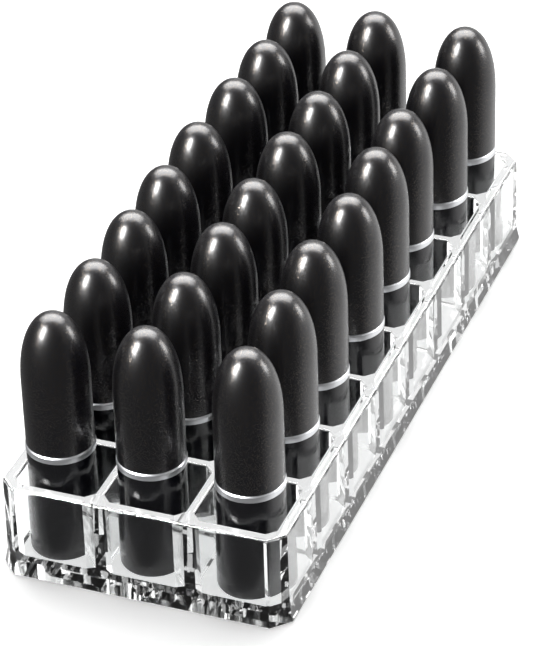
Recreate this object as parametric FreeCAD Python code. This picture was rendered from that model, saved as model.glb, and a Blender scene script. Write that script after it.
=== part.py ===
import FreeCAD
import Part
import math
import os

V = FreeCAD.Vector

# Tray: a clear moulding of octagonal cells on a thick base with a flared plinth.
columns = ["left", "middle", "right"]
rows = 8
cell_pitch = 26.5
divider = 2.8            # wall between two cells, at the rim
outer_wall = 3.5         # wall round the outside, at the rim
cell_facet = 2.3         # leg of the slanted facet in each cell corner
cell_draft = 0.25        # each cell wall leans in by this at the floor
tray_height = 29.0
base_thickness = 5.2
plinth_height = 4.9      # crease between the wall and the flared plinth
plinth_flare = 0.9
wall_spread = 0.25       # the outer wall is this much further out at the crease
foot_bevel = 0.45
rim_round = 0.8
rim_share = 0.3          # largest rim rounding as a share of the divider

# Lipstick: barrel, collar ring, bullet-shaped cap.
lipstick_radius = 9.6
barrel_height = 31.7
barrel_bevel = 0.6
ring_height = 2.15
ring_proud = 0.2
ring_bevel = 0.2
ring_shoulder = 0.5      # wider bevel on the upper edge of the collar ring
cap_height = 41.15
dome_height = 21.0       # the upper part of the cap is half an ellipsoid this high
cap_wall = 1.25
cap_throat = 23.0        # depth of the straight bore above the mouth
cap_roof = 3.4           # thickness at the tip
cap_roof_radius = 4.4
mouth_bevel = 0.2

# Twist mechanism inside the barrel.
run_clear = 0.3          # gap between pieces that turn or slide past each other
seat_clear = 0.1         # gap between pieces that are fixed in each other
barrel_floor = 2.0
sleeve_seat = 12.0       # height of the step in the barrel that carries the spiral sleeve
sleeve_wall = 1.2
sleeve_rise = 22.0       # length of the spiral sleeve that shows above the collar ring
tube_wall = 0.6
tube_top_gap = 0.6       # the slotted tube ends this far below the mouth of the sleeve
carrier_wall = 0.5
carrier_floor = 1.0
carrier_height = 10.0
carrier_rest = 16.0      # height of the carrier cup above the foot with the bullet down
lug_radius = 0.9
lug_height = 2.2         # height of the lugs above the underside of the carrier cup
groove_depth = 0.6
groove_pitch = 10.0      # rise of the bullet in one round
bullet_travel = 15.0
bullet_sink = 2.0        # the bullet rests this far below the mouth of the sleeve
bullet_dome_share = 1.25  # height of the domed tip as a share of its radius
bullet_slant = 52.0      # angle of the slanted tip from the upright
slant_depth = 4.2

# Where the lipsticks stand in their cells, front to back, as a share of the free play on each axis.
stand_clear = 0.3
standing = {
    "left": [
        (-0.8, -1.0), (-0.45, -0.25), (-0.6, 0.1), (-0.8, -0.3),
        (-1.0, -0.5), (-0.6, 0.4), (-0.3, -0.4), (-0.5, -0.8),
    ],
    "middle": [
        (-0.7, -0.4), (-0.8, 0.4), (-0.5, 1.0), (-0.7, 0.25),
        (-0.75, 1.0), (-0.55, 0.4), (-0.5, 0.3), (-0.8, 0.3),
    ],
    "right": [
        (0.85, -0.9), (0.3, 0.45), (-0.1, 0.55), (0.6, 0.65),
        (-0.15, 0.8), (-0.35, -1.0), (0.9, -1.0), (1.0, -0.3),
    ],
}
full_mechanism = "right_1"

cell_half = (cell_pitch - divider) / 2
grid_x = len(columns) * cell_pitch / 2 - divider / 2
grid_y = rows * cell_pitch / 2 - divider / 2
rim_corner = cell_facet + outer_wall * (2 - math.sqrt(2))
rim_fillet = min(rim_round, rim_share * divider)
free_play = cell_half - cell_draft - lipstick_radius - stand_clear

ring_top = barrel_height + ring_height
tip_height = ring_top + cap_height
cap_bore = lipstick_radius - cap_wall
sleeve_outer = cap_bore - run_clear
sleeve_inner = sleeve_outer - sleeve_wall
sleeve_top = ring_top + sleeve_rise
tube_outer = sleeve_inner - run_clear
tube_inner = tube_outer - tube_wall
carrier_outer = tube_inner - run_clear
bullet_radius = carrier_outer - carrier_wall - seat_clear
groove_outer = sleeve_inner + groove_depth
lug_reach = groove_outer - run_clear
lug_level = carrier_rest + lug_height
bullet_foot = carrier_rest + carrier_floor
bullet_top = sleeve_top - bullet_sink
bullet_dome = bullet_dome_share * bullet_radius


def eight_sides(half_x, half_y, leg, z):
    corners = [
        (half_x - leg, -half_y), (half_x, leg - half_y), (half_x, half_y - leg), (half_x - leg, half_y),
        (leg - half_x, half_y), (-half_x, half_y - leg), (-half_x, leg - half_y), (leg - half_x, -half_y),
    ]
    points = [V(x, y, z) for x, y in corners]
    return Part.makePolygon(points + points[:1])


def grown(half_x, half_y, leg, by, z):
    # The same outline moved outward by one distance on all eight sides.
    return eight_sides(half_x + by, half_y + by, leg + by * (2 - math.sqrt(2)), z)


def stack(wires):
    return Part.makeLoft(wires, True, True)


def revolved(edges):
    face = Part.Face(Part.Wire(edges))
    return face.revolve(V(0, 0, 0), V(0, 0, 1), 360)


def lines(points):
    ends = [V(r, 0, z) for r, z in points]
    return [Part.makeLine(a, b) for a, b in zip(ends, ends[1:])]


def turned(points):
    return revolved(lines(points + points[:1]))


def dome(radius, height, z):
    # Quarter ellipse from the axis down to the side of a dome.
    arc = Part.BSplineCurve()
    corners = [V(0, 0, z + height), V(radius, 0, z + height), V(radius, 0, z)]
    arc.buildFromPolesMultsKnots(corners, [3, 3], [0, 1], False, 2, [1, math.sqrt(0.5), 1])
    return arc.toShape()


def cell_centre(column, row):
    x = (column - (len(columns) - 1) / 2) * cell_pitch
    y = (row - (rows - 1) / 2) * cell_pitch
    return x, y


def cell_pocket():
    floor_half = cell_half - cell_draft
    above = cell_draft / (tray_height - base_thickness)
    return stack([
        grown(floor_half, floor_half, cell_facet, 0, base_thickness),
        grown(floor_half, floor_half, cell_facet, cell_draft + above, tray_height + 1),
    ])


def at_rim(edge):
    return all(abs(v.Z - tray_height) < 1e-6 for v in edge.Vertexes)


def moulded_tray():
    half_x = grid_x + outer_wall
    half_y = grid_y + outer_wall
    plinth = wall_spread + plinth_flare
    body = stack([
        grown(half_x, half_y, rim_corner, plinth - foot_bevel, 0),
        grown(half_x, half_y, rim_corner, plinth, foot_bevel),
        grown(half_x, half_y, rim_corner, wall_spread, plinth_height),
        grown(half_x, half_y, rim_corner, 0, tray_height),
    ])
    pocket = cell_pocket()
    pockets = []
    for column in range(len(columns)):
        for row in range(rows):
            x, y = cell_centre(column, row)
            pockets.append(pocket.translated(V(x, y, 0)))
    body = body.cut(Part.makeCompound(pockets)).removeSplitter().Solids[0]
    return body.makeFillet(rim_fillet, [e for e in body.Edges if at_rim(e)])


def cap():
    shoulder = tip_height - dome_height
    throat = ring_top + cap_throat
    roof = tip_height - cap_roof
    side = lines([
        (lipstick_radius, shoulder),
        (lipstick_radius, ring_top + mouth_bevel),
        (lipstick_radius - mouth_bevel, ring_top),
        (cap_bore, ring_top),
        (cap_bore, throat),
        (cap_roof_radius, roof),
        (0, roof),
        (0, tip_height),
    ])
    return revolved([dome(lipstick_radius, dome_height, shoulder)] + side)


def ring_profile(inner):
    outer = lipstick_radius + ring_proud
    return [
        (inner, barrel_height),
        (outer - ring_bevel, barrel_height),
        (outer, barrel_height + ring_bevel),
        (outer, ring_top - ring_shoulder),
        (outer - ring_shoulder, ring_top),
        (inner, ring_top),
    ]


def collar_ring():
    return turned(ring_profile(cap_bore))


def whole_base():
    # A closed lipstick below its cap as one turned piece: barrel, collar ring, sleeve and bullet tip.
    outer = lipstick_radius + ring_proud
    tip_foot = bullet_top - bullet_dome
    side = lines([
        (0, 0),
        (lipstick_radius - barrel_bevel, 0),
        (lipstick_radius, barrel_bevel),
        (lipstick_radius, barrel_height),
        (outer, barrel_height),
        (outer, ring_top - ring_shoulder),
        (outer - ring_shoulder, ring_top),
        (sleeve_outer, ring_top),
        (sleeve_outer, sleeve_top),
        (tube_inner, sleeve_top),
        (tube_inner, tip_foot),
        (bullet_radius, tip_foot),
    ])
    tip = dome(bullet_radius, bullet_dome, tip_foot)
    return revolved(side + [tip] + lines([(0, bullet_top), (0, 0)]))


def barrel():
    bore = sleeve_outer + run_clear
    seat_bore = tube_outer + seat_clear
    return turned([
        (0, 0),
        (lipstick_radius - barrel_bevel, 0),
        (lipstick_radius, barrel_bevel),
        (lipstick_radius, barrel_height),
        (bore, barrel_height),
        (bore, sleeve_seat),
        (seat_bore, sleeve_seat),
        (seat_bore, barrel_floor),
        (0, barrel_floor),
    ])


def tube(inner, outer, bottom, top):
    return turned([(inner, bottom), (outer, bottom), (outer, top), (inner, top)])


def slotted_tube():
    body = tube(tube_inner, tube_outer, barrel_floor, sleeve_top - tube_top_gap)
    width = 2 * (lug_radius + run_clear)
    low = lug_level - lug_radius - run_clear
    high = lug_level + bullet_travel + lug_radius + run_clear
    slot = Part.makeBox(4 * tube_outer, width, high - low, V(-2 * tube_outer, -width / 2, low))
    return body.cut(slot)


def groove():
    # One helical groove of the sleeve, wide enough for a lug and a little longer than its run.
    half = lug_radius + run_clear + 0.5 * run_clear
    lead_in = half
    length = bullet_travel + 2 * lead_in
    helix = Part.makeHelix(groove_pitch, length, sleeve_inner)
    inner = sleeve_inner - run_clear
    section = Part.makePolygon([
        V(inner, 0, -half), V(groove_outer, 0, -half), V(groove_outer, 0, half), V(inner, 0, half),
        V(inner, 0, -half),
    ])
    run = Part.Wire(helix).makePipeShell([section], True, True)
    run.translate(V(0, 0, lug_level - lead_in))
    return run.rotated(V(0, 0, 0), V(0, 0, 1), -360 * lead_in / groove_pitch)


def spiral_sleeve():
    # The lug stays at one bearing while the sleeve turns, so the groove falls as it goes round.
    body = tube(sleeve_inner, sleeve_outer, sleeve_seat, sleeve_top)
    first = groove().mirror(V(0, 0, 0), V(0, 1, 0))
    second = first.rotated(V(0, 0, 0), V(0, 0, 1), 180)
    return body.cut([first, second])


def carrier_cup():
    top = carrier_rest + carrier_height
    inner = carrier_outer - carrier_wall
    cup = turned([
        (0, carrier_rest),
        (carrier_outer, carrier_rest),
        (carrier_outer, top),
        (inner, top),
        (inner, bullet_foot),
        (0, bullet_foot),
    ])
    pin = Part.makeCylinder(lug_radius, 2 * lug_reach, V(-lug_reach, 0, lug_level), V(1, 0, 0))
    core = Part.makeCylinder(inner, carrier_height, V(0, 0, bullet_foot))
    return cup.fuse(pin.cut(core)).removeSplitter()


def bullet():
    # Straight stick with a domed top, cut on a slant on one side.
    shoulder = bullet_top - bullet_dome
    side = lines([(bullet_radius, shoulder), (bullet_radius, bullet_foot), (0, bullet_foot), (0, bullet_top)])
    stick = revolved([dome(bullet_radius, bullet_dome, shoulder)] + side)
    reach = 4 * bullet_radius
    wedge = Part.makeBox(reach, reach, reach, V(0, -reach / 2, -reach / 2))
    wedge.rotate(V(0, 0, 0), V(0, 1, 0), bullet_slant - 90)
    wedge.translate(V(bullet_radius, 0, bullet_top - bullet_dome - slant_depth + bullet_radius))
    return stick.cut(wedge)


def standing_place(column, row):
    x, y = cell_centre(column, row)
    lean_x, lean_y = standing[columns[column]][row]
    return V(x + lean_x * free_play, y + lean_y * free_play, base_thickness)


os.makedirs("parts", exist_ok=True)
shapes = {"moulded_tray": moulded_tray()}
cap_shape = cap()
base_shape = whole_base()
split_shapes = {
    "barrel": barrel(),
    "collar_ring": collar_ring(),
    "slotted_tube": slotted_tube(),
    "spiral_sleeve": spiral_sleeve(),
    "carrier_cup": carrier_cup(),
    "bullet": bullet(),
}
for column, side in enumerate(columns):
    for row in range(rows):
        place = f"{side}_{row + 1}"
        foot = standing_place(column, row)
        shapes[f"cap_{place}"] = cap_shape.translated(foot)
        if place == full_mechanism:
            for piece, shape in split_shapes.items():
                shapes[f"{piece}_{place}"] = shape.translated(foot)
        else:
            shapes[f"lipstick_{place}"] = base_shape.translated(foot)

for node, shape in shapes.items():
    shape.exportStep(f"parts/{node}.step")
print(len(shapes), "nodes written")
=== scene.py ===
import math
import bmesh
import bpy
from mathutils import Matrix, Vector


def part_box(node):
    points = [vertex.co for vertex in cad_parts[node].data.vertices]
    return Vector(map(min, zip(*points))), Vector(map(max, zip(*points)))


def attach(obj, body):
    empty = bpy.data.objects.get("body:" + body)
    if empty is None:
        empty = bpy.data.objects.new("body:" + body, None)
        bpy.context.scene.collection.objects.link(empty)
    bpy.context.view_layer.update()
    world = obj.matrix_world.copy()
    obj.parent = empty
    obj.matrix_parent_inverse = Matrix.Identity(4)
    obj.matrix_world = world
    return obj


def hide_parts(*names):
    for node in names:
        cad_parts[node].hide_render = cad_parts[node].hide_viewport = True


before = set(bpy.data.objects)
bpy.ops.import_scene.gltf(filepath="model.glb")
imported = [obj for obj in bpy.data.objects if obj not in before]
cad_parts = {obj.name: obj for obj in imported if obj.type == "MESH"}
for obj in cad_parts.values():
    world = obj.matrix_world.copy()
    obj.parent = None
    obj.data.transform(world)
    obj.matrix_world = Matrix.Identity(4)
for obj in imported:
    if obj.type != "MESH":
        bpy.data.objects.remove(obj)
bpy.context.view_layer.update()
scene = bpy.context.scene
mm = 0.001
columnNames = ("left", "middle", "right")
rowCount = 8
workingOne = "right_1"  # the lipstick whose twist mechanism is modelled in full
print("frame loaded:", len(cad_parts), "nodes")


def linear(hexColour):
    channels = [int(hexColour[i:i + 2], 16) / 255 for i in (1, 3, 5)]
    return [c / 12.92 if c <= 0.04045 else ((c + 0.055) / 1.055) ** 2.4 for c in channels] + [1.0]


def addNode(tree, kind, values=None, links=None, **settings):
    node = tree.nodes.new(kind)
    for name, value in settings.items():
        setattr(node, name, value)
    for socket, value in (values or {}).items():
        node.inputs[socket].default_value = value
    for socket, source in (links or {}).items():
        tree.links.new(source, node.inputs[socket])
    return node


def addMath(tree, operation, values=None, links=None):
    return addNode(tree, "ShaderNodeMath", values, links, operation=operation).outputs["Value"]


def addMix(tree, factor, a, b, kind="FLOAT"):
    # Each end is a plain value or another node's output
    ends = {"A": a, "B": b}
    links = {name: end for name, end in ends.items() if isinstance(end, bpy.types.NodeSocket)}
    values = {name: end for name, end in ends.items() if name not in links}
    return addNode(tree, "ShaderNodeMix", values, {"Factor": factor, **links}, data_type=kind).outputs["Result"]


def blankMaterial(name):
    material = bpy.data.materials.new(name)
    material.use_nodes = True
    material.node_tree.nodes.clear()
    return material, material.node_tree


def perMetre(sizeInMm):
    return 1 / (sizeInMm * mm)  # texture scale that gives a cell of this size


def addNoise(tree, sizeInMm, detail, stretch=None):
    vector = addNode(tree, "ShaderNodeTexCoord").outputs["Object"]
    if stretch:
        vector = addNode(tree, "ShaderNodeMapping", {"Scale": stretch}, {"Vector": vector}).outputs["Vector"]
    return addNode(tree, "ShaderNodeTexNoise", {"Scale": perMetre(sizeInMm), "Detail": detail},
                   {"Vector": vector}).outputs["Fac"]


def addBump(tree, height, heightInMm):
    return addNode(tree, "ShaderNodeBump", {"Strength": 1.0, "Distance": heightInMm * mm},
                   {"Height": height}).outputs["Normal"]


def addSurface(tree, values, links):
    body = addNode(tree, "ShaderNodeBsdfPrincipled", values, links)
    addNode(tree, "ShaderNodeOutputMaterial", links={"Surface": body.outputs["BSDF"]})


# Injection-moulded clear acrylic: bends what is behind it, with a faint flow wave in its faces
trayFinish = {"tint": "#FCFDFD", "ior": 1.49, "roughness": 0.012,
              "waveSize": 14.0, "waveHeight": 0.003, "waveDetail": 1.0}


def clearAcrylicMoulded(look):
    material, tree = blankMaterial("clearAcrylicMoulded")
    wave = addNoise(tree, look["waveSize"], look["waveDetail"])
    addSurface(tree, {"Base Color": linear(look["tint"]), "Roughness": look["roughness"],
                      "IOR": look["ior"], "Transmission Weight": 1.0},
               {"Normal": addBump(tree, wave, look["waveHeight"])})
    return material


# Black lacquered ABS with a fine pearl flake: near black, with a warm grain beside the highlights.
# Real flake is about 0.05 mm and would not show, so it is drawn at 0.17 mm.
capFinish = {"name": "blackPearlLacquer", "black": "#080811", "flake": "#3A342E", "flakeSize": 0.17,
             "flakeShare": 0.22, "flakeMetal": 0.55, "roughness": 0.36, "flakeRoughness": 0.23,
             "flakeTilt": 0.26, "shine": 0.18, "coat": 0.42, "coatRoughness": 0.23}
# Black moulded ABS of the barrel: glossier and without metal, with a barely seen grain (drawn at 0.4 mm)
barrelFinish = {"name": "blackMouldedAbs", "black": "#06060C", "flake": "#101016", "flakeSize": 0.40,
                "flakeShare": 0.30, "flakeMetal": 0.0, "roughness": 0.18, "flakeRoughness": 0.24,
                "flakeTilt": 0.04, "shine": 0.45, "coat": 0.0, "coatRoughness": 0.1}


def blackLacquer(look):
    material, tree = blankMaterial(look["name"])
    place = addNode(tree, "ShaderNodeTexCoord")
    cells = addNode(tree, "ShaderNodeTexVoronoi", {"Scale": perMetre(look["flakeSize"])},
                    {"Vector": place.outputs["Object"]})
    pick = addNode(tree, "ShaderNodeSeparateColor", links={"Color": cells.outputs["Color"]})
    isFlake = addMath(tree, "GREATER_THAN", {1: 1 - look["flakeShare"]}, {0: pick.outputs["Red"]})
    colour = addMix(tree, isFlake, linear(look["black"]), linear(look["flake"]), "RGBA")
    metal = addMath(tree, "MULTIPLY", {1: look["flakeMetal"]}, {0: isFlake})
    rough = addMix(tree, isFlake, look["roughness"], look["flakeRoughness"])
    # Each flake lies a little askew, its lean taken from its own random colour
    lean = addNode(tree, "ShaderNodeVectorMath", {1: (0.5, 0.5, 0.5)}, {0: cells.outputs["Color"]},
                   operation="SUBTRACT")
    tilt = addMath(tree, "MULTIPLY", {1: look["flakeTilt"]}, {0: isFlake})
    swing = addNode(tree, "ShaderNodeVectorMath", links={0: lean.outputs["Vector"], "Scale": tilt},
                    operation="SCALE")
    skin = addNode(tree, "ShaderNodeNewGeometry")
    askew = addNode(tree, "ShaderNodeVectorMath",
                    links={0: skin.outputs["Normal"], 1: swing.outputs["Vector"]}, operation="ADD")
    facing = addNode(tree, "ShaderNodeVectorMath", links={0: askew.outputs["Vector"]}, operation="NORMALIZE")
    addSurface(tree, {"Specular IOR Level": look["shine"], "Coat Weight": look["coat"],
                      "Coat Roughness": look["coatRoughness"]},
               {"Base Color": colour, "Metallic": metal, "Roughness": rough,
                "Normal": facing.outputs["Vector"]})
    return material


# Turned and polished aluminium: bright, with fine rings left by the lathe (drawn 0.22 mm apart to show)
ringFinish = {"name": "turnedAluminium", "metal": "#CBCCCF", "lineSize": 0.22, "lineHeight": 0.001,
              "lineDetail": 2.0, "lineStretch": 0.02, "roughness": 0.34, "roughSpread": 0.08}
# Satin anodised aluminium of the sleeve: smoother shine, deeper lathe rings (drawn 0.3 mm apart to show)
sleeveFinish = {"name": "satinAnodisedAluminium", "metal": "#C9CBCE", "lineSize": 0.30, "lineHeight": 0.003,
                "lineDetail": 2.0, "lineStretch": 0.02, "roughness": 0.26, "roughSpread": 0.12}


def turnedMetal(look):
    material, tree = blankMaterial(look["name"])
    stretch = (look["lineStretch"], look["lineStretch"], 1.0)
    lines = addNoise(tree, look["lineSize"], look["lineDetail"], stretch)
    half = look["roughSpread"] / 2
    rough = addNode(tree, "ShaderNodeMapRange",
                    {"To Min": look["roughness"] - half, "To Max": look["roughness"] + half}, {"Value": lines})
    addSurface(tree, {"Base Color": linear(look["metal"]), "Metallic": 1.0},
               {"Roughness": rough.outputs["Result"], "Normal": addBump(tree, lines, look["lineHeight"])})
    return material


# White moulded POM of the inner tube and cup: satin, with a faint spark-eroded grain
innerFinish = {"white": "#E9E8E4", "shade": "#DCDAD4", "grainSize": 0.5, "grainHeight": 0.006,
               "grainDetail": 3.0, "roughness": 0.42, "ior": 1.48}


def whitePomMoulded(look):
    material, tree = blankMaterial("whitePomMoulded")
    grain = addNoise(tree, look["grainSize"], look["grainDetail"])
    colour = addMix(tree, grain, linear(look["shade"]), linear(look["white"]), "RGBA")
    addSurface(tree, {"Roughness": look["roughness"], "IOR": look["ior"]},
               {"Base Color": colour, "Normal": addBump(tree, grain, look["grainHeight"])})
    return material


# Moulded lipstick wax: soft satin rose that lets a little light in, with faint flow streaks
bulletFinish = {"rose": "#A8324A", "deep": "#8E2238", "streakSize": 1.6, "streakHeight": 0.01,
                "streakDetail": 3.0, "streakStretch": 0.3, "roughness": 0.38, "ior": 1.45,
                "skin": 0.8, "skinShare": 0.15}


def mouldedLipstickWax(look):
    material, tree = blankMaterial("mouldedLipstickWax")
    stretch = (1.0, 1.0, look["streakStretch"])
    streak = addNoise(tree, look["streakSize"], look["streakDetail"], stretch)
    colour = addMix(tree, streak, linear(look["deep"]), linear(look["rose"]), "RGBA")
    addSurface(tree, {"Roughness": look["roughness"], "IOR": look["ior"],
                      "Subsurface Weight": look["skinShare"], "Subsurface Scale": look["skin"] * mm},
               {"Base Color": colour, "Normal": addBump(tree, streak, look["streakHeight"])})
    return material


acrylic = clearAcrylicMoulded(trayFinish)
capBlack = blackLacquer(capFinish)
barrelBlack = blackLacquer(barrelFinish)
ringSilver = turnedMetal(ringFinish)
sleeveSilver = turnedMetal(sleeveFinish)
innerWhite = whitePomMoulded(innerFinish)
waxRose = mouldedLipstickWax(bulletFinish)
print("finishes made")

# Core is the radius in mm of the circle that the profile is carried along, weld a distance in metres
turning = {"segments": 112, "core": 3.0, "cornerSteps": 4, "sharpAngle": 40.0, "weld": 1e-6}


def turnedTree():
    # A profile in the XZ plane carried round the upright axis, then set down at its place
    tree = bpy.data.node_groups.new("turnedPiece", "GeometryNodeTree")
    inputs = {"Profile": "Geometry", "Segments": "Int", "Core": "Float", "Place": "Vector", "Finish": "Material"}
    for name, kind in inputs.items():
        tree.interface.new_socket(name, in_out="INPUT", socket_type="NodeSocket" + kind)
    tree.interface.new_socket("Piece", in_out="OUTPUT", socket_type="NodeSocketGeometry")
    given = addNode(tree, "NodeGroupInput").outputs
    circle = addNode(tree, "GeometryNodeCurvePrimitiveCircle",
                     links={"Resolution": given["Segments"], "Radius": given["Core"]})
    swept = addNode(tree, "GeometryNodeCurveToMesh",
                    links={"Curve": circle.outputs["Curve"], "Profile Curve": given["Profile"]})
    closed = addNode(tree, "GeometryNodeMergeByDistance", {"Distance": turning["weld"]},
                     {"Geometry": swept.outputs["Mesh"]})
    placed = addNode(tree, "GeometryNodeTransform",
                     links={"Geometry": closed.outputs["Geometry"], "Translation": given["Place"]})
    coated = addNode(tree, "GeometryNodeSetMaterial",
                     links={"Geometry": placed.outputs["Geometry"], "Material": given["Finish"]})
    addNode(tree, "NodeGroupOutput", links={"Piece": coated.outputs["Geometry"]})
    return tree


latheTree = turnedTree()
latheInputs = {item.name: item.identifier for item in latheTree.interface.items_tree
               if item.in_out == "INPUT"}


def roundedProfile(corners):
    # Corners are (radius, height, rounding) in mm; a rounded one becomes a short curve
    points = []
    for i, (r, z, rounding) in enumerate(corners):
        here = Vector((r, z))
        before = Vector(corners[i - 1][:2])
        after = Vector(corners[(i + 1) % len(corners)][:2])
        if not rounding:
            points.append(here)
            continue
        start = here + (before - here).normalized() * rounding
        end = here + (after - here).normalized() * rounding
        for step in range(turning["cornerSteps"] + 1):
            t = step / turning["cornerSteps"]
            points.append(start * (1 - t) ** 2 + here * (2 * t * (1 - t)) + end * t ** 2)
    return points


def domePoints(radius, height, foot, steps, power=2.0):
    # Quarter ellipse from the tip down to the side, blunter with a higher power
    angles = [math.pi / 2 * step / steps for step in range(steps + 1)]
    bend = 2 / power
    return [(radius * math.sin(a) ** bend, foot + height * max(0.0, math.cos(a)) ** bend, 0) for a in angles]


def profileCurve(name, points, ringClosed):
    curve = bpy.data.curves.new(name, "CURVE")
    curve.dimensions = "3D"
    spline = curve.splines.new("POLY")
    spline.points.add(len(points) - 1)
    for point, (r, z) in zip(spline.points, points):
        point.co = ((r - turning["core"]) * mm, -z * mm, 0, 1)
    spline.use_cyclic_u = ringClosed
    return curve


def turnedPiece(name, curve, foot, finish):
    host = bpy.data.objects.new(name + "Profile", curve)
    scene.collection.objects.link(host)
    lathe = host.modifiers.new("turned", "NODES")
    lathe.node_group = latheTree
    lathe[latheInputs["Segments"]] = turning["segments"]
    lathe[latheInputs["Core"]] = turning["core"] * mm
    lathe[latheInputs["Place"]] = foot
    lathe[latheInputs["Finish"]] = finish
    graph = bpy.context.evaluated_depsgraph_get()
    mesh = bpy.data.meshes.new_from_object(host.evaluated_get(graph), depsgraph=graph)
    bpy.data.objects.remove(host)
    shell = bmesh.new()
    shell.from_mesh(mesh)
    bmesh.ops.recalc_face_normals(shell, faces=shell.faces)
    shell.to_mesh(mesh)
    shell.free()
    mesh.shade_smooth()
    mesh.set_sharp_from_angle(angle=math.radians(turning["sharpAngle"]))
    piece = bpy.data.objects.new(name, mesh)
    scene.collection.objects.link(piece)
    return piece


# Shapes are in mm, with heights above the foot of the lipstick
capShape = {"radius": 9.6, "mouth": 33.85, "tip": 75.0, "dome": 21.0, "bore": 8.35, "throat": 56.85,
            "roof": 71.6, "roofRadius": 4.4, "edge": 0.2, "domeSteps": 36, "blunt": 2.2, "tipDrop": 0.3}


def capProfile(size):
    edge = size["edge"]
    outside = domePoints(size["radius"], size["dome"] - size["tipDrop"], size["tip"] - size["dome"],
                         size["domeSteps"], size["blunt"])
    inside = [(size["radius"], size["mouth"], edge), (size["bore"], size["mouth"], edge),
              (size["bore"], size["throat"], edge), (size["roofRadius"], size["roof"], edge),
              (0, size["roof"], 0)]
    return roundedProfile(outside + inside)


# The foot is a hair above the clear floor, as a loose case stands, so the floor still mirrors from below
barrelShape = {"radius": 9.6, "foot": 0.06, "top": 31.7, "bore": 8.35, "seat": 12.0, "seatBore": 6.65,
               "floor": 2.0, "edge": 0.6, "topEdge": 0.15}


def barrelProfile(size):
    return roundedProfile([
        (0, size["foot"], 0), (size["radius"], size["foot"], size["edge"]),
        (size["radius"], size["top"], size["topEdge"]), (size["bore"], size["top"], size["topEdge"]),
        (size["bore"], size["seat"], 0), (size["seatBore"], size["seat"], 0),
        (size["seatBore"], size["floor"], 0), (0, size["floor"], 0)])


ringShape = {"radius": 9.8, "bottom": 31.7, "top": 33.85, "bore": 8.35, "edge": 0.2, "shoulder": 0.5}


def ringProfile(size):
    shoulder = size["shoulder"]
    return roundedProfile([
        (size["bore"], size["bottom"], 0), (size["radius"], size["bottom"], size["edge"]),
        (size["radius"], size["top"] - shoulder, size["edge"]),
        (size["radius"] - shoulder, size["top"], size["edge"]), (size["bore"], size["top"], 0)])


sleeveShape = {"radius": 8.05, "bore": 6.85, "bottom": 12.0, "top": 55.85, "edge": 0.3}


def sleeveProfile(size):
    return roundedProfile([
        (size["bore"], size["bottom"], 0), (size["radius"], size["bottom"], 0),
        (size["radius"], size["top"], size["edge"]), (size["bore"], size["top"], size["edge"])])


# Slant is the angle in degrees of the stick's cut face
bulletShape = {"radius": 5.05, "bottom": 17.0, "top": 53.85, "dome": 6.31, "domeSteps": 14, "edge": 0.3,
               "slant": 52.0, "slantDepth": 4.2}


def bulletProfile(size):
    shoulder = size["top"] - size["dome"]
    return roundedProfile(domePoints(size["radius"], size["dome"], shoulder, size["domeSteps"])
                          + [(size["radius"], size["bottom"], size["edge"]), (0, size["bottom"], 0)])


def cutSlant(piece, foot, size):
    # Slanted face of a fresh stick, cut and closed
    angle = math.radians(size["slant"] - 90)
    normal = Vector((math.cos(angle), 0, -math.sin(angle)))
    height = size["top"] - size["dome"] - size["slantDepth"] + size["radius"]
    point = foot + Vector((size["radius"], 0, height)) * mm
    stick = bmesh.new()
    stick.from_mesh(piece.data)
    geometry = stick.verts[:] + stick.edges[:] + stick.faces[:]
    cut = bmesh.ops.bisect_plane(stick, geom=geometry, plane_co=point, plane_no=normal, clear_outer=True)
    rim = [e for e in cut["geom_cut"] if isinstance(e, bmesh.types.BMEdge)]
    if rim:
        bmesh.ops.holes_fill(stick, edges=rim)
    bmesh.ops.recalc_face_normals(stick, faces=stick.faces)
    stick.to_mesh(piece.data)
    stick.free()
    piece.data.set_sharp_from_angle(angle=math.radians(turning["sharpAngle"]))


capCurve = profileCurve("capProfile", capProfile(capShape), False)
barrelCurve = profileCurve("barrelProfile", barrelProfile(barrelShape), False)
ringCurve = profileCurve("ringProfile", ringProfile(ringShape), True)
sleeveCurve = profileCurve("sleeveProfile", sleeveProfile(sleeveShape), True)
bulletCurve = profileCurve("bulletProfile", bulletProfile(bulletShape), False)


def setPiece(piece, body, slot, *nodes):
    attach(piece, body)
    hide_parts(*nodes)


for columnName in columnNames:
    for row in range(1, rowCount + 1):
        place = f"{columnName}_{row}"
        low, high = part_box(f"cap_{place}")
        foot = Vector(((low.x + high.x) / 2, (low.y + high.y) / 2, high.z - capShape["tip"] * mm))
        body = f"lipstick_{place}"
        base = f"barrel_{place}" if place == workingOne else f"lipstick_{place}"
        collar = f"collar_ring_{place}" if place == workingOne else base
        cap = turnedPiece(f"lacquered_cap_{place}", capCurve, foot, capBlack)
        setPiece(cap, f"cap_{place}", "black_cap", f"cap_{place}")
        barrel = turnedPiece(f"turned_barrel_{place}", barrelCurve, foot, barrelBlack)
        setPiece(barrel, body, "black_barrel", base)
        ring = turnedPiece(f"polished_ring_{place}", ringCurve, foot, ringSilver)
        setPiece(ring, body, "silver_ring", collar)
        if place == workingOne:
            continue
        sleeve = turnedPiece(f"satin_sleeve_{place}", sleeveCurve, foot, sleeveSilver)
        setPiece(sleeve, body, "silver_sleeve", base)
        stick = turnedPiece(f"rose_bullet_{place}", bulletCurve, foot, waxRose)
        cutSlant(stick, foot, bulletShape)
        setPiece(stick, body, "lipstick", base)
print("lipsticks turned:", len(columnNames) * rowCount)

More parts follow.
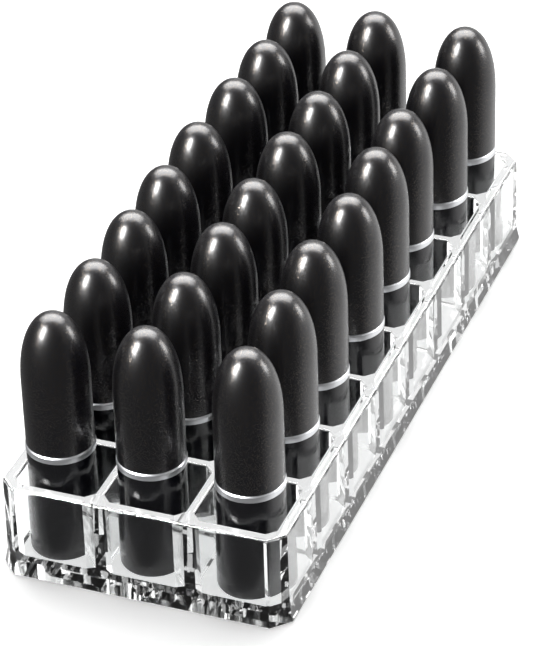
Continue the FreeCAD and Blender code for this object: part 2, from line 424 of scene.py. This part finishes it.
# CAD nodes that stay as they are take their finish here
keptNodes = {"moulded_tray": acrylic, f"spiral_sleeve_{workingOne}": sleeveSilver,
             f"slotted_tube_{workingOne}": innerWhite, f"carrier_cup_{workingOne}": innerWhite,
             f"bullet_{workingOne}": waxRose}
for nodeName, finish in keptNodes.items():
    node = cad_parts[nodeName]
    node.data.materials.clear()
    node.data.materials.append(finish)
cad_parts["moulded_tray"].visible_shadow = False  # light goes through the clear moulding
print("clear tray finished")

# Pale table: drop in mm, other lengths in metres; the lifts are a faint glow for camera and clear rays, and
# front is the level of the painted shade in front of the tray
tableLook = {"colour": "#F2F2F2", "drop": 0.25, "size": 6.0, "lift": 0.45, "clearLift": 0.90,
             "frontEdge": (-0.116, -0.107), "front": 0.03, "contact": 0.012, "contactSamples": 8}


def tableTop(look):
    # Seen through the tray, the table glows bright below and behind it and is painted dark in front: a painted
    # shade that only clear rays see
    material, tree = blankMaterial("paleTable")
    path = addNode(tree, "ShaderNodeLightPath").outputs
    place = addNode(tree, "ShaderNodeTexCoord")
    split = addNode(tree, "ShaderNodeSeparateXYZ", links={"Vector": place.outputs["Object"]})
    # Painted shade: for clear rays the table fades to dark in front of the tray's front edge
    start, end = look["frontEdge"]
    behind = addNode(tree, "ShaderNodeMapRange", {"From Min": start, "From Max": end, "To Min": look["front"]},
                     {"Value": split.outputs["Y"]}, interpolation_type="SMOOTHSTEP")
    # The shade at the tray's foot, for camera rays only
    contact = addNode(tree, "ShaderNodeAmbientOcclusion", {"Distance": look["contact"]},
                      samples=look["contactSamples"])
    shaded = addMix(tree, path["Is Camera Ray"], 1.0, contact.outputs["AO"])
    level = addMix(tree, path["Is Transmission Ray"], shaded, behind.outputs["Result"])
    colour = addMix(tree, level, linear("#000000"), linear(look["colour"]), "RGBA")
    seen = addMath(tree, "MULTIPLY", {1: look["lift"]}, {0: path["Is Camera Ray"]})
    lift = addMath(tree, "MULTIPLY_ADD", {1: look["clearLift"]}, {0: path["Is Transmission Ray"], 2: seen})
    strength = addMath(tree, "MULTIPLY", links={0: lift, 1: level})
    matt = addNode(tree, "ShaderNodeBsdfDiffuse", links={"Color": colour})
    glow = addNode(tree, "ShaderNodeEmission", {"Color": linear("#FFFFFF")}, {"Strength": strength})
    both = addNode(tree, "ShaderNodeAddShader", links={0: matt.outputs["BSDF"], 1: glow.outputs["Emission"]})
    addNode(tree, "ShaderNodeOutputMaterial", links={"Surface": both.outputs["Shader"]})
    half = look["size"] / 2
    corners = [(-half, -half), (half, -half), (half, half), (-half, half)]
    mesh = bpy.data.meshes.new("tableTop")
    mesh.from_pydata([(x, y, -look["drop"] * mm) for x, y in corners], [], [(0, 1, 2, 3)])
    mesh.materials.append(material)
    table = bpy.data.objects.new("tableTop", mesh)
    table.visible_glossy = False  # the room's lower half stands in for it in polished surfaces
    scene.collection.objects.link(table)


# Room brightness for each kind of ray; the pairs are where a direction's X, Y or Z fades in
roomLook = {"light": 0.55, "front": 0.22, "back": 1.0, "clearFront": 0.25, "clearBack": 0.90,
            "rightGlow": 0.5, "toBack": (-0.45, 0.25), "offLeft": (-0.62, -0.35), "toRight": (0.0, 0.6),
            "toFloor": (0.25, -0.1)}


def backdropRoom(look):
    # White to the camera; in reflections dark in front and on the left, white behind, bright low on the right
    world = bpy.data.worlds.new("backdropRoom")
    world.use_nodes = True
    tree = world.node_tree
    tree.nodes.clear()
    path = addNode(tree, "ShaderNodeLightPath").outputs
    place = addNode(tree, "ShaderNodeTexCoord")
    split = addNode(tree, "ShaderNodeSeparateXYZ", links={"Vector": place.outputs["Generated"]})

    def ramp(axis, fade):
        return addNode(tree, "ShaderNodeMapRange", {"From Min": fade[0], "From Max": fade[1]},
                       {"Value": split.outputs[axis]}, interpolation_type="SMOOTHSTEP").outputs["Result"]

    def between(dark, bright, share):
        return addNode(tree, "ShaderNodeMapRange", {"To Min": dark, "To Max": bright},
                       {"Value": share}).outputs["Result"]

    def product(a, b):
        return addMath(tree, "MULTIPLY", links={0: a, 1: b})

    back = ramp("Y", look["toBack"])
    mirrored = between(look["front"], look["back"], product(back, ramp("X", look["offLeft"])))
    lowRight = product(product(back, ramp("X", look["toRight"])), ramp("Z", look["toFloor"]))
    glossy = addMath(tree, "MULTIPLY_ADD", {1: look["rightGlow"]}, {0: lowRight, 2: mirrored})
    through = between(look["clearFront"], look["clearBack"], back)
    shiny = addMix(tree, path["Is Glossy Ray"], look["light"], glossy)
    clear = addMix(tree, path["Is Transmission Ray"], shiny, through)
    level = addMix(tree, path["Is Camera Ray"], clear, 1.0)
    sky = addNode(tree, "ShaderNodeBackground", {"Color": linear("#FFFFFF")}, {"Strength": level})
    addNode(tree, "ShaderNodeOutputWorld", links={"Surface": sky.outputs["Background"]})
    scene.world = world


# Bearing is from +Y towards +X and height above the table, both in degrees; sizes in metres.
# The strips only add reflections, so they carry no light to matt surfaces.
softBoxes = {
    "overheadBox": {"bearing": -20, "height": 62, "away": 1.1, "wide": 1.2, "tall": 0.9, "watts": 16,
                    "mirrorOnly": False},
    "topStrip": {"bearing": -20, "height": 66, "away": 1.0, "wide": 1.8, "tall": 0.95, "watts": 68,
                 "mirrorOnly": True},
    "leftStrip": {"bearing": -150, "height": 35, "away": 1.0, "wide": 0.24, "tall": 0.50, "watts": 46,
                  "mirrorOnly": True},
    "rightStrip": {"bearing": 62, "height": 16, "away": 1.0, "wide": 0.30, "tall": 0.42, "watts": 7,
                   "mirrorOnly": True},
}
boxTarget = Vector((0, 0, 0.05))  # the middle of the lipsticks


def softBox(name, look):
    bearing = math.radians(look["bearing"])
    height = math.radians(look["height"])
    level = math.cos(height)
    toBox = Vector((level * math.sin(bearing), level * math.cos(bearing), math.sin(height)))
    lamp = bpy.data.lights.new(name, "AREA")
    lamp.shape = "RECTANGLE"
    lamp.size = look["wide"]
    lamp.size_y = look["tall"]
    lamp.energy = look["watts"]
    box = bpy.data.objects.new(name, lamp)
    box.location = toBox * look["away"] + boxTarget
    box.rotation_euler = toBox.to_track_quat("Z", "Y").to_euler()
    box.visible_camera = False
    box.visible_transmission = False
    box.visible_diffuse = not look["mirrorOnly"]
    scene.collection.objects.link(box)


# The photograph's own view: a long lens from the front right, looking down; angles in radians
cameraView = {"place": (0.30639, -0.77596, 0.57052), "turn": -0.380, "down": 0.580, "tilt": -0.033,
              "lens": 187.47, "sensor": 36, "nearest": 0.01}


def photoCamera(view):
    turn, down, tilt = view["turn"], view["down"], view["tilt"]
    ahead = Vector((math.sin(turn) * math.cos(down), math.cos(turn) * math.cos(down), -math.sin(down)))
    right = Vector((math.cos(turn), -math.sin(turn), 0))
    up = right.cross(ahead)
    across = right * math.cos(tilt) + up * math.sin(tilt)
    upright = up * math.cos(tilt) - right * math.sin(tilt)
    data = bpy.data.cameras.new("photoCamera")
    data.lens = view["lens"]
    data.sensor_width = view["sensor"]
    data.clip_start = view["nearest"]
    camera = bpy.data.objects.new("photoCamera", data)
    axes = Matrix((across, upright, -ahead)).transposed().to_4x4()
    camera.matrix_world = Matrix.Translation(view["place"]) @ axes
    scene.collection.objects.link(camera)
    scene.camera = camera


tableTop(tableLook)
backdropRoom(roomLook)
for boxName, boxLook in softBoxes.items():
    softBox(boxName, boxLook)
photoCamera(cameraView)
scene.view_settings.view_transform = "Standard"
# Light crosses many clear walls before it leaves the tray
scene.cycles.max_bounces = 40
scene.cycles.transmission_bounces = 40
scene.cycles.glossy_bounces = 12
scene.cycles.caustics_reflective = False
scene.cycles.caustics_refractive = False
print("studio set")
